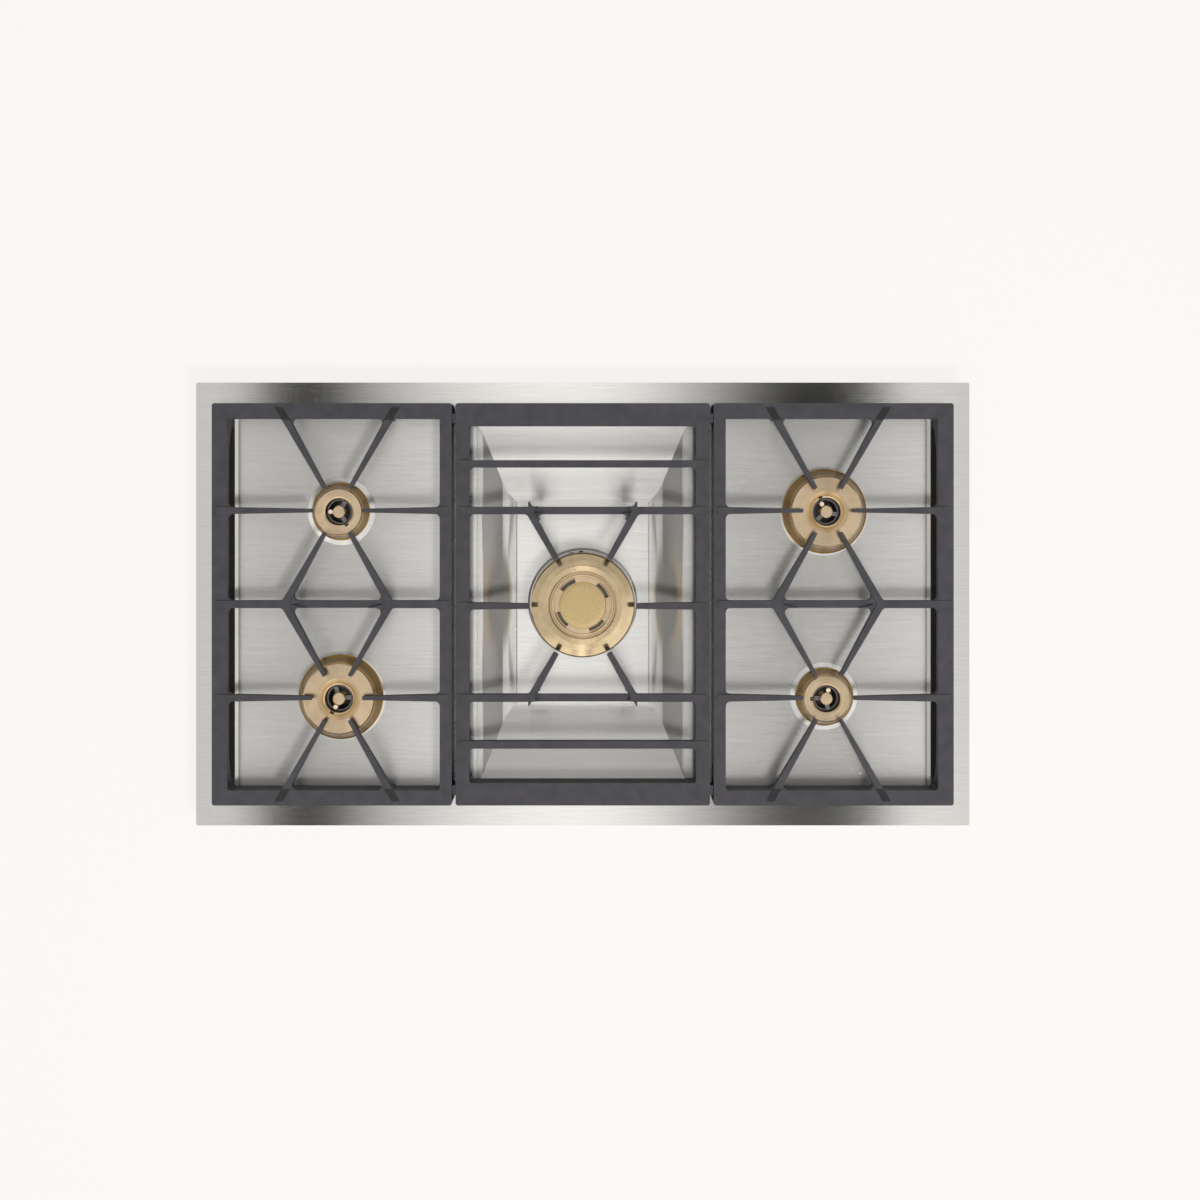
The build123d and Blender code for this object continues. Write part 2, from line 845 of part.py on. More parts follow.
def wok_inner_ring():
    """Inner brass ring with four curved slots round the cap and a step that floors the groove."""
    low = wok_cup_z + head_gap
    deck = wok_deck
    step = brass_z - wok_groove_depth
    wide = wok_groove_out - wok_ring_gap
    spigot = wok_inner_face - wok_inner_wall
    ring = turned(
        [
            (wok_cap - 2.5, wok_tube_z),
            (wok_cap - 2.5, deck),
            (wok_inner_face, deck),
            (wok_inner_face + 0.8, brass_z - 1.2),
            (wok_inner_out - 0.5, brass_z - 1.2),
            (wok_inner_out, brass_z - 1.9),
            (wok_inner_out, step),
            (wide, step),
            (wide, low),
            (wok_inner_face, low),
            (wok_inner_face, low - spigot_depth),
            (spigot, low - spigot_depth),
            (spigot, deck - 4),
            (wok_cap, deck - 4),
            (wok_cap, wok_tube_z),
        ]
    )
    middle_z = deck + 1.5 - wok_slot_depth / 2
    section = Pos(wok_slot_radius, middle_z) * Rectangle(wok_slot_width, wok_slot_depth + 3)
    section = Plane.XZ * section
    for middle in wok_slots:
        start = Rot(0, 0, middle - wok_slot_arc / 2) * section
        ring -= revolve(start, Axis.Z, wok_slot_arc)
    return ring


def wok_centre_cap():
    """Loose brass cap in the middle of the wok burner."""
    deck = wok_deck
    return turned(
        [
            (0, deck - 7),
            (wok_cap - 6, deck - 7),
            (wok_cap - 6, deck + 0.3),
            (wok_cap - 0.3, deck + 0.3),
            (wok_cap + 0.2, deck + 0.9),
            (wok_cap - 0.6, deck + 1.6),
            (wok_cap - 5, deck + 2.2),
            (0, deck + 2.6),
        ]
    )


def wok_cup():
    """Cast body of the wok burner: two chambers and a flared throat under the inner ring."""
    under = trough_z - sheet
    bottom = trough_z - wok_cup_depth
    flange = wok_lip + cup_flange
    outer_mouth = wok_spigot + spigot_gap
    outer = outer_mouth + cup_wall
    inner_mouth = wok_inner_face + spigot_gap
    flare_z = wok_tube_z - wok_ring_gap
    body = turned(
        [
            (0, boss_bottom),
            (boss_radius - 1, boss_bottom),
            (boss_radius, boss_bottom + 1),
            (boss_radius, bottom),
            (outer - 5, bottom),
            (outer, bottom + 5),
            (outer, under - cup_flange_thick),
            (flange, under - cup_flange_thick),
            (flange, under),
            (outer, under),
            (outer, wok_cup_z),
            (outer_mouth, wok_cup_z),
            (outer_mouth, bottom + 7),
            (outer_mouth - 3, bottom + 3),
            (wok_inner_out + 3, bottom + 3),
            (wok_inner_out + 2, wok_cup_z),
            (inner_mouth, wok_cup_z),
            (inner_mouth, bottom + 7),
            (inner_mouth - 3, bottom + 3),
            (wok_throat + wok_throat_wall, bottom + 3),
            (wok_throat + wok_throat_wall, flare_z - 8),
            (wok_flare, flare_z - 2),
            (wok_flare, flare_z),
            (wok_throat + 3, flare_z),
            (wok_throat, flare_z - 3),
            (wok_throat, bottom + 3),
            (jet_radius, bottom + 3),
            (jet_radius, pipe_z),
            (0, pipe_z),
        ]
    )
    passage = Pos(inner_mouth - 6, 0, 0) * brick(14, 12, bottom + 5, bottom + 12)
    for n in range(4):
        body -= Rot(0, 0, 90 * n) * passage
    for dx, dy in cup_studs(wok_lip):
        body -= Pos(dx, dy, 0) * disc(stud_m4 + 0.25, under - cup_flange_thick - 1, under + 1)
    for angle in (wok_light_angle, wok_probe_angle):
        x, y = polar(wok_light_radius, angle)
        body -= Pos(x, y, 0) * disc(electrode_radius + 0.05, under - 5, under + 1)
    channel = Rot(0, 90, 0) * Cylinder(
        pipe_bore, boss_radius, align=(Align.CENTER, Align.CENTER, Align.MIN)
    )
    socket = Rot(0, 90, 0) * Pos(0, 0, jet_radius) * Cylinder(
        pipe_radius, boss_radius, align=(Align.CENTER, Align.CENTER, Align.MIN)
    )
    body -= Pos(0, 0, pipe_z) * Rot(0, 0, -90) * (socket + channel)
    return body


# --- housing, pipes and fixings ----------------------------------------------------------------


def tray():
    """Folded steel tray under the plate with an outward flange along its top."""
    body = slab(2 * tray_x, 2 * tray_y, tray_bottom, tray_top, tray_corner)
    body += slab(
        2 * (tray_x + tray_flange),
        2 * (tray_y + tray_flange),
        tray_top - tray_sheet,
        tray_top,
        tray_corner,
    )
    body -= slab(
        2 * (tray_x - tray_sheet),
        2 * (tray_y - tray_sheet),
        tray_bottom + tray_sheet,
        tray_top + 1,
        tray_corner - tray_sheet,
    )
    for x, y in tray_studs():
        body -= Pos(x, y, 0) * disc(stud_m4 + 0.25, tray_top - 2, tray_top + 1)
    for x in pipe_entries():
        body -= Pos(x, -tray_y - 3, pipe_z) * Rot(-90, 0, 0) * Cylinder(
            pipe_radius + 0.3, 6, align=(Align.CENTER, Align.CENTER, Align.MIN)
        )
    body -= Pos(gland_x, tray_y - 3, pipe_z) * Rot(-90, 0, 0) * Cylinder(
        gland_radius - 2.0, 6, align=(Align.CENTER, Align.CENTER, Align.MIN)
    )
    slot = RectangleRounded(60, 4, 1.9)
    for x in (-3, -1, 1, 3):
        for y in (-2.4, -0.8, 0.8, 2.4):
            if abs(y) > 1:
                place = Pos(x * tray_x / 4.4, y * tray_y / 3.3, tray_bottom - 1)
                body -= extrude(place * slot, tray_sheet + 2)
    for x, y, _ in clamp_places():
        body -= Pos(x, y, clamp_bolt_z) * Rot(90, 0, 0) * Cylinder(stud_m4, 8)
    return body


def pipe_entries():
    return (-pipe_front_x, -pipe_rear_x, 0.0, pipe_rear_x, pipe_front_x)


def feed_pipe(entry, target):
    """Bent tube from the row of unions at the front wall to a cup's boss."""
    start = (entry, -pipe_end)
    x, y = target
    if abs(entry - x) < 1:
        path = Line(start, (x, y - boss_radius + 4))
    else:
        side = 1 if entry > x else -1
        turn = side * pipe_bend
        path = Line(start, (entry, y - pipe_bend))
        path += RadiusArc((entry, y - pipe_bend), (entry - turn, y), -turn)
        path += Line((entry - turn, y), (x + side * (boss_radius - 4), y))
    level = Plane.XY.offset(pipe_z)
    wire = level * path
    mouth = Plane(origin=(start[0], start[1], pipe_z), z_dir=(0, 1, 0))
    pipe = sweep(mouth * Circle(pipe_radius), path=wire)
    # rolled bead that keeps the nut on the pipe and stops the hose or union pushed over its end
    bead = Cylinder(bead_radius, bead_length)
    bead = fillet(bead.edges().filter_by(GeomType.CIRCLE), bead_length / 3)
    pipe += Pos(entry, -union_face - bead_length / 2, pipe_z) * Rot(90, 0, 0) * bead
    return pipe - sweep(mouth * Circle(pipe_bore), path=wire)


def hexagon(flats, low, high, bore):
    """Nut about the Z axis."""
    outline = RegularPolygon(flats / 2, 6, major_radius=False) - Circle(bore)
    return extrude(Plane.XY.offset(low) * outline, high - low)


def union_nuts():
    """Hexagon nuts on the pipes, outside the front wall."""
    nuts = []
    for x in pipe_entries():
        nut = Rot(90, 0, 0) * hexagon(union_flats, 0, union_length, pipe_radius + union_gap)
        nuts.append(Pos(x, -tray_y, pipe_z) * nut)
    return nuts


def stud_nuts(places, level):
    """Nuts under a flange whose lower face is at the given level."""
    nuts = []
    for x, y in places:
        nuts.append(Pos(x, y, 0) * hexagon(nut_flats, level - nut_thick, level, stud_m4 + 0.05))
    return nuts


def clamp_places():
    return [(x, s * tray_y, s) for x in (-clamp_x, clamp_x) for s in (-1, 1)]


def clamp_bracket():
    """Angle bracket against a wall that faces -Y, with a foot that reaches outwards."""
    half = clamp_width / 2
    body = box_at((-half, -clamp_sheet, clamp_top - clamp_leaf), (half, 0, clamp_top))
    body += box_at((-half, -clamp_reach, clamp_top - clamp_sheet), (half, 0, clamp_top))
    body -= Pos(0, 0, clamp_bolt_z) * Rot(90, 0, 0) * Cylinder(stud_m4 + 0.25, 3 * clamp_sheet)
    hole = disc(clamp_screw, clamp_top - clamp_sheet - 1, clamp_top + 1)
    return body - Pos(0, -clamp_reach + clamp_hole_inset, 0) * hole


def clamp_jack():
    """Screw with a hexagon head that presses on the worktop from below."""
    low = clamp_top - 8
    shank = disc(clamp_screw, low, low + clamp_screw_length)
    outline = RegularPolygon(4.0, 6, major_radius=False)
    head = extrude(Plane.XY.offset(low - 4) * outline, 4)
    return Pos(0, -clamp_reach + clamp_hole_inset, 0) * (shank + head)


def clamp_bolt():
    """Pan-head screw through the bracket's leaf into the tray's wall."""
    upright = (Align.CENTER, Align.CENTER, Align.MIN)
    start = Pos(0, -clamp_sheet, clamp_bolt_z)
    shank = start * Rot(-90, 0, 0) * Cylinder(stud_m4, clamp_sheet + 5, align=upright)
    head = start * Rot(90, 0, 0) * Cylinder(2 * stud_m4, 2.4, align=upright)
    return shank + head


def at_walls(shape):
    """Copies of a front-wall shape at all four clamp places."""
    copies = []
    for x, y, sign in clamp_places():
        turn = Rot(0, 0, 0 if sign < 0 else 180)
        copies.append(Pos(x, y, 0) * turn * shape)
    return copies


def rim_seal():
    """Foam strip in the groove under the rim."""
    outer_x = plate_width / 2 - seal_edge
    outer_y = plate_depth / 2 - seal_edge
    body = slab(2 * outer_x, 2 * outer_y, 0, rim_height - sheet, 4.0)
    hole = slab(2 * (outer_x - seal_width), 2 * (outer_y - seal_width), -1, rim_height, 2.0)
    return body - hole


def spark_module():
    """Closed plastic case of the spark generator with two feet on the tray's floor."""
    low = tray_bottom + tray_sheet
    length, width, height = module_size
    upright = (Align.CENTER, Align.CENTER, Align.MIN)
    case = Pos(0, 0, low) * Box(length, width, height, align=upright)
    case = fillet(case.edges().filter_by(Axis.Z), 3.0)
    case += Pos(0, 0, low) * Box(length + 24, width * 0.4, 2.5, align=upright)
    for n in range(5):
        x = (n - 2) * length / 6
        case += Pos(x, 0, low + height) * Box(6.0, 0.8, 7.0, align=upright)
    return Pos(module_x, module_y, 0) * case


def mains_gland():
    """Plastic gland in the rear wall, with its hexagon outside."""
    inner = Pos(0, -5, 0) * Rot(-90, 0, 0) * Cylinder(
        gland_radius - 2.05, 5 + 1, align=(Align.CENTER, Align.CENTER, Align.MIN)
    )
    collar_part = Rot(-90, 0, 0) * hexagon(2 * gland_radius, 0, 5.0, gland_bore)
    nose = Rot(-90, 0, 0) * Pos(0, 0, 5) * Cone(
        gland_radius - 1.5, gland_radius - 3.0, 8, align=(Align.CENTER, Align.CENTER, Align.MIN)
    )
    lock = Pos(0, -tray_sheet, 0) * Rot(90, 0, 0) * hexagon(2 * gland_radius, 0, 3.0, gland_bore)
    body = inner + collar_part + nose + lock
    body -= Pos(0, -9, 0) * Rot(-90, 0, 0) * Cylinder(
        gland_bore, 30, align=(Align.CENTER, Align.CENTER, Align.MIN)
    )
    return Pos(gland_x, tray_y, pipe_z) * body


def main():
    os.makedirs("parts", exist_ok=True)
    write("top_plate", top_plate())
    write("rim_seal", rim_seal())
    write("lower_tray", tray())
    nut_level = floor_z - sheet - cup_flange_thick
    nuts = []
    for name, (x, y, size, notch, slit, arms) in BURNERS.items():
        here = Pos(x, y, 0)
        side = 0 if x < 0 else 180
        write("burner_head_" + name, here * burner_head(size, notch, slit))
        write("burner_cup_" + name, here * burner_cup(size, notch, arms, side))
        write("burner_stud_" + name, here * burner_stud())
        sleeve, pin = electrode(floor_z - cup_depth, brass_z - 2.2)
        spot = here * Rot(0, 0, arms[0]) * Pos(electrode_place(size), 0, 0)
        write("spark_electrode_" + name, spot * sleeve, spot * pin)
        probe = flame_probe(floor_z - cup_depth - 10, brass_z - 3.0)
        write("flame_probe_" + name, here * Rot(0, 0, notch) * Pos(probe_place(size), 0, 0) * probe)
        jet = gas_jet(floor_z - cup_depth - 6, floor_z - cup_depth + 3)
        write("gas_jet_" + name, here * jet)
        sign = -1 if x < 0 else 1
        entry = sign * (pipe_front_x if y < 0 else pipe_rear_x)
        write("feed_pipe_" + name, feed_pipe(entry, (x, y)))
        for dx, dy in cup_studs(size["collar"]):
            nuts += stud_nuts([(x + dx, y + dy)], nut_level)
    write("wok_outer_ring", wok_outer_ring())
    write("wok_inner_ring", wok_inner_ring())
    write("wok_centre_cap", wok_centre_cap())
    write("wok_cup", wok_cup())
    sleeve, pin = electrode(trough_z - sheet - 14, wok_cup_z - 2.0)
    spot = Rot(0, 0, wok_light_angle) * Pos(wok_light_radius, 0, 0)
    write("spark_electrode_wok", spot * sleeve, spot * pin)
    probe = flame_probe(trough_z - sheet - 16, wok_cup_z - 1.0)
    write("flame_probe_wok", Rot(0, 0, wok_probe_angle) * Pos(wok_light_radius, 0, 0) * probe)
    write("gas_jet_wok", gas_jet(trough_z - wok_cup_depth - 1.5, trough_z - wok_cup_depth + 3))
    write("feed_pipe_wok", feed_pipe(0.0, (0.0, 0.0)))
    nuts += stud_nuts(cup_studs(wok_lip), trough_z - sheet - cup_flange_thick)
    write("cup_nuts", *nuts)
    write("tray_nuts", *stud_nuts(tray_studs(), tray_top - tray_sheet))
    write("union_nuts", *union_nuts())
    write("clamp_brackets", *at_walls(clamp_bracket()))
    write("clamp_screws", *at_walls(clamp_jack()))
    write("bracket_screws", *at_walls(clamp_bolt()))
    write("spark_module", spark_module())
    write("mains_gland", mains_gland())
    write("pan_support_left", side_grate(-1))
    write("pan_support_centre", centre_grate())
    write("pan_support_right", side_grate(1))
    write("leg_pads_left", *pads_for(-side_outer_x, -side_inner_x))
    write("leg_pads_centre", *pads_for(-centre_half, centre_half))
    write("leg_pads_right", *pads_for(side_inner_x, side_outer_x))


main()
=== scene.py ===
import json
import math

import bmesh
import bpy
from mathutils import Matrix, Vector
from mathutils.kdtree import KDTree


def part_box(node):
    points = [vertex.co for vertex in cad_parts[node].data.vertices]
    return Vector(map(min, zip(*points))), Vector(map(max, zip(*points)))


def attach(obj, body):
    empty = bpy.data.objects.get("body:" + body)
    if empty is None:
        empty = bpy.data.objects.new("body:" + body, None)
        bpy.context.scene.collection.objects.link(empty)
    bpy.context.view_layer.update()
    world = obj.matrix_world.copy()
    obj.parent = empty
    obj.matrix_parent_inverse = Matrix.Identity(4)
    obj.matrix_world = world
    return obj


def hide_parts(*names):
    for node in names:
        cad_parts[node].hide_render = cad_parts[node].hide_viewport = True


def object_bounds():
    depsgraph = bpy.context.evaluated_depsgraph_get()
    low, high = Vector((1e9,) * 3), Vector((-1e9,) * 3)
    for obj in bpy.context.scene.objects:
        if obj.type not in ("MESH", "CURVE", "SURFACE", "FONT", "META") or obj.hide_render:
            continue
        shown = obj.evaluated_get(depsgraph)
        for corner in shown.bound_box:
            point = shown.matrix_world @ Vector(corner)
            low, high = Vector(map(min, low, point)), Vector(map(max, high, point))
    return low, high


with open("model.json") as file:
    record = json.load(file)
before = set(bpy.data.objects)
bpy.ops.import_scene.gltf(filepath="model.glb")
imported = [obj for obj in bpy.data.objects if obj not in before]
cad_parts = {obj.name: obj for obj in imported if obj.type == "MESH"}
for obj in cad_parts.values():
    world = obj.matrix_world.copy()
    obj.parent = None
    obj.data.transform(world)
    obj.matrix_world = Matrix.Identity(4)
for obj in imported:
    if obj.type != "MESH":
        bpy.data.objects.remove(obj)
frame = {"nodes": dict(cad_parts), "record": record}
nodes = frame["nodes"]
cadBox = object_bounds()
scene = bpy.context.scene
print("frame loaded:", len(nodes), "nodes")


def toLinear(hexText):
    # sRGB hex to linear RGBA
    channels = []
    for start in (1, 3, 5):
        value = int(hexText[start:start + 2], 16) / 255
        channels.append(value / 12.92 if value <= 0.04045 else ((value + 0.055) / 1.055) ** 2.4)
    return (*channels, 1.0)


def addNode(tree, kind, settings=None, sockets=None, links=None):
    node = tree.nodes.new(kind)
    for key, value in (settings or {}).items():
        setattr(node, key, value)
    for key, value in (sockets or {}).items():
        node.inputs[key].default_value = value
    for key, source in (links or {}).items():
        tree.links.new(source, node.inputs[key])
    return node


def fillRamp(ramp, stops):
    # colour ramp from (position, colour) stops
    while len(ramp.elements) < len(stops):
        ramp.elements.new(0.5)
    for element, (position, colour) in zip(ramp.elements, stops):
        element.position = position
        element.color = colour


def greyStops(pairs, low, high):
    # (value, grey) pairs as the stops of a ramp that spans low to high
    return [((value - low) / (high - low), (grey, grey, grey, 1.0)) for value, grey in pairs]


def startMaterial(name, metallic=0.0):
    # an empty Principled material; place is the object's own position in metres
    material = bpy.data.materials.new(name)
    material.use_nodes = True
    tree = material.node_tree
    tree.nodes.clear()
    shader = addNode(tree, "ShaderNodeBsdfPrincipled", sockets={"Metallic": metallic})
    addNode(tree, "ShaderNodeOutputMaterial", links={"Surface": shader.outputs["BSDF"]})
    place = addNode(tree, "ShaderNodeTexCoord").outputs["Object"]
    return material, tree, shader, place


def dress(piece, material):
    piece.data.materials.clear()
    piece.data.materials.append(material)


# stainless sheet
plateSteel = {
    "light": "#e7e5e1",
    "dark": "#dbd8d3",
    "grainMm": 1.0,        # real grain is about 0.2 mm, drawn coarser so that it shows
    "grainLengthMm": 45.0,
    "grainPerMetreUp": 300,
    "contrast": (0.3, 0.7),
    "heightMm": (-26, 4),  # trough floor to rim, which both height lists below span
    # roughness by height above the worktop: belt-ground rim, coarser pressed floor, and the
    # trough, which deep drawing leaves smoother again
    "roughnessMm": [(-26, 0.20), (-16, 0.23), (-4, 0.25), (-1, 0.25), (3.4, 0.11)],
    # how metallic it looks by the same height: the floor is brushed coarser and scatters more of its
    # light, and the short slope up to the rim, where the press stretched the sheet, most of all
    "metalMm": [(-26, 0.84), (-1.9, 0.84), (-1.5, 0.45), (3.4, 0.45), (3.98, 0.995)],
    "floorTone": 0.95,     # painted shade: the recessed floor is coloured a shade darker than the rim
    "floorToneMm": (-1, 3),
    "wander": 0.012,
    "anisotropy": 1.0,
    "bump": 0.035,
    "bumpMm": 0.4,
}


def brushedStainless():
    # stainless sheet, belt brushed along X: long fine streaks, and reflections drawn out front to back
    material, tree, shader, place = startMaterial("brushedStainlessSteel")
    scale = (1000 / plateSteel["grainLengthMm"], 1000 / plateSteel["grainMm"],
             plateSteel["grainPerMetreUp"])
    faint, strong = plateSteel["contrast"]
    lowest, highest = plateSteel["heightMm"]
    floorEnd, rimStart = plateSteel["floorToneMm"]
    drawn = addNode(tree, "ShaderNodeMapping", sockets={"Scale": scale}, links={"Vector": place})
    streaks = addNode(tree, "ShaderNodeTexNoise", sockets={"Scale": 1.0, "Detail": 4.0, "Roughness": 0.6},
                      links={"Vector": drawn.outputs["Vector"]})
    contrast = addNode(tree, "ShaderNodeMapRange", sockets={"From Min": faint, "From Max": strong},
                       links={"Value": streaks.outputs["Fac"]})
    tone = addNode(tree, "ShaderNodeMix", {"data_type": "RGBA"},
                   {6: toLinear(plateSteel["dark"]), 7: toLinear(plateSteel["light"])},
                   {"Factor": contrast.outputs["Result"]})
    split = addNode(tree, "ShaderNodeSeparateXYZ", links={"Vector": place})
    height = addNode(tree, "ShaderNodeMapRange",
                     sockets={"From Min": lowest / 1000, "From Max": highest / 1000},
                     links={"Value": split.outputs["Z"]})
    level = addNode(tree, "ShaderNodeValToRGB", links={"Fac": height.outputs["Result"]})
    fillRamp(level.color_ramp, greyStops(plateSteel["roughnessMm"], lowest, highest))
    metal = addNode(tree, "ShaderNodeValToRGB", links={"Fac": height.outputs["Result"]})
    fillRamp(metal.color_ramp, greyStops(plateSteel["metalMm"], lowest, highest))
    wander = addNode(tree, "ShaderNodeMapRange",
                     sockets={"To Min": -plateSteel["wander"], "To Max": plateSteel["wander"]},
                     links={"Value": streaks.outputs["Fac"]})
    rough = addNode(tree, "ShaderNodeMath", {"operation": "ADD"},
                    links={0: level.outputs["Color"], 1: wander.outputs["Result"]})
    bump = addNode(tree, "ShaderNodeBump",
                   sockets={"Strength": plateSteel["bump"], "Distance": plateSteel["bumpMm"] / 1000},
                   links={"Height": streaks.outputs["Fac"]})
    across = addNode(tree, "ShaderNodeCombineXYZ", sockets={"X": 0.0, "Y": 1.0, "Z": 0.0})
    # painted shade: below the rim the floor's colour is multiplied darker
    depth = addNode(tree, "ShaderNodeMapRange",
                    sockets={"From Min": floorEnd / 1000, "From Max": rimStart / 1000,
                             "To Min": plateSteel["floorTone"]},
                    links={"Value": split.outputs["Z"]})
    shaded = addNode(tree, "ShaderNodeMix", {"data_type": "RGBA", "blend_type": "MULTIPLY"},
                     {"Factor": 1.0}, {6: tone.outputs[2], 7: depth.outputs["Result"]})
    shader.inputs["Anisotropic"].default_value = plateSteel["anisotropy"]
    tree.links.new(shaded.outputs[2], shader.inputs["Base Color"])
    tree.links.new(metal.outputs["Color"], shader.inputs["Metallic"])
    tree.links.new(rough.outputs["Value"], shader.inputs["Roughness"])
    tree.links.new(bump.outputs["Normal"], shader.inputs["Normal"])
    tree.links.new(across.outputs["Vector"], shader.inputs["Tangent"])
    return material


castIron = {
    "dark": "#2a292c",
    "light": "#353336",
    "gritMm": 1.1,
    "mottleMm": 14.0,
    "contrast": (0.74, 1.26),
    # the level tops keep the full tone; the ribs' end ramps, the edges and the sides get painted shade and
    # keep this share of the tone, and level is the Z of the face normal over which the one turns into the
    # other
    "edgeShade": 0.25,
    "level": (0.9925, 0.999),
    "roughness": (0.46, 0.70),
    "bump": 0.4,
    "bumpMm": 0.3,
}


def enamelledCastIron():
    # matt black enamel on cast iron: a fine sandy grain with a faint sheen where it turns
    material, tree, shader, place = startMaterial("mattEnamelledCastIron")
    grit = addNode(tree, "ShaderNodeTexNoise",
                   sockets={"Scale": 1000 / castIron["gritMm"], "Detail": 3.0, "Roughness": 0.65},
                   links={"Vector": place})
    mottle = addNode(tree, "ShaderNodeTexNoise",
                     sockets={"Scale": 1000 / castIron["mottleMm"], "Detail": 2.0}, links={"Vector": place})
    both = addNode(tree, "ShaderNodeMath", {"operation": "ADD"},
                   links={0: grit.outputs["Fac"], 1: mottle.outputs["Fac"]})
    faint, strong = castIron["contrast"]
    contrast = addNode(tree, "ShaderNodeMapRange", sockets={"From Min": faint, "From Max": strong},
                       links={"Value": both.outputs["Value"]})
    tone = addNode(tree, "ShaderNodeMix", {"data_type": "RGBA"},
                   {6: toLinear(castIron["dark"]), 7: toLinear(castIron["light"])},
                   {"Factor": contrast.outputs["Result"]})
    facing = addNode(tree, "ShaderNodeSeparateXYZ",
                     links={"Vector": addNode(tree, "ShaderNodeNewGeometry").outputs["True Normal"]})
    tilted, level = castIron["level"]
    # painted shade: faces that tilt away from level (ramps, edges and sides) are coloured darker
    tiltShade = addNode(tree, "ShaderNodeMapRange",
                   sockets={"From Min": tilted, "From Max": level, "To Min": castIron["edgeShade"]},
                   links={"Value": facing.outputs["Z"]})
    shaded = addNode(tree, "ShaderNodeMix", {"data_type": "RGBA", "blend_type": "MULTIPLY"},
                     {"Factor": 1.0}, {6: tone.outputs[2], 7: tiltShade.outputs["Result"]})
    smoother, rougher = castIron["roughness"]
    rough = addNode(tree, "ShaderNodeMapRange", sockets={"To Min": smoother, "To Max": rougher},
                    links={"Value": grit.outputs["Fac"]})
    bump = addNode(tree, "ShaderNodeBump",
                   sockets={"Strength": castIron["bump"], "Distance": castIron["bumpMm"] / 1000},
                   links={"Height": grit.outputs["Fac"]})
    tree.links.new(shaded.outputs[2], shader.inputs["Base Color"])
    tree.links.new(rough.outputs["Result"], shader.inputs["Roughness"])
    tree.links.new(bump.outputs["Normal"], shader.inputs["Normal"])
    return material


# brass off the lathe; the flank of a head gets painted shade and painted reflection as brown bands
brass = {
    "ringMm": 1.2,
    "cloudPerMetre": 90.0,
    "contrast": (0.7, 1.3),
    "roughnessSpread": 0.05,
    "bump": 0.08,
    "bumpMm": 0.2,
    "flankSpanMm": 24,     # the bands' heights are measured from this far under the top face
    "flankMm": [(0, "#c8b787"), (6, "#a08c55"), (13, "#8f7c48"), (19, "#b9a66f"), (22.4, "#e2cfa8"),
                (23.2, "#ffffff")],
}
# dark and light tone, roughness, anisotropy and crown (tilt of the top face, outwards) of each
# turned piece: the wok ring is cut finest and shows the fan
latheCut = {
    "burner_head": ("#e3c8a2", "#f4dab6", 0.24, 0.7, 0.035),
    "burner_stud": ("#e3c8a2", "#f4dab6", 0.34, 0.7, 0.0),
    "wok_outer_ring": ("#dfc69c", "#f2dab0", 0.20, 0.85, 0.0),
    "wok_inner_ring": ("#e3c8a2", "#f4dab6", 0.30, 0.7, 0.0),
}


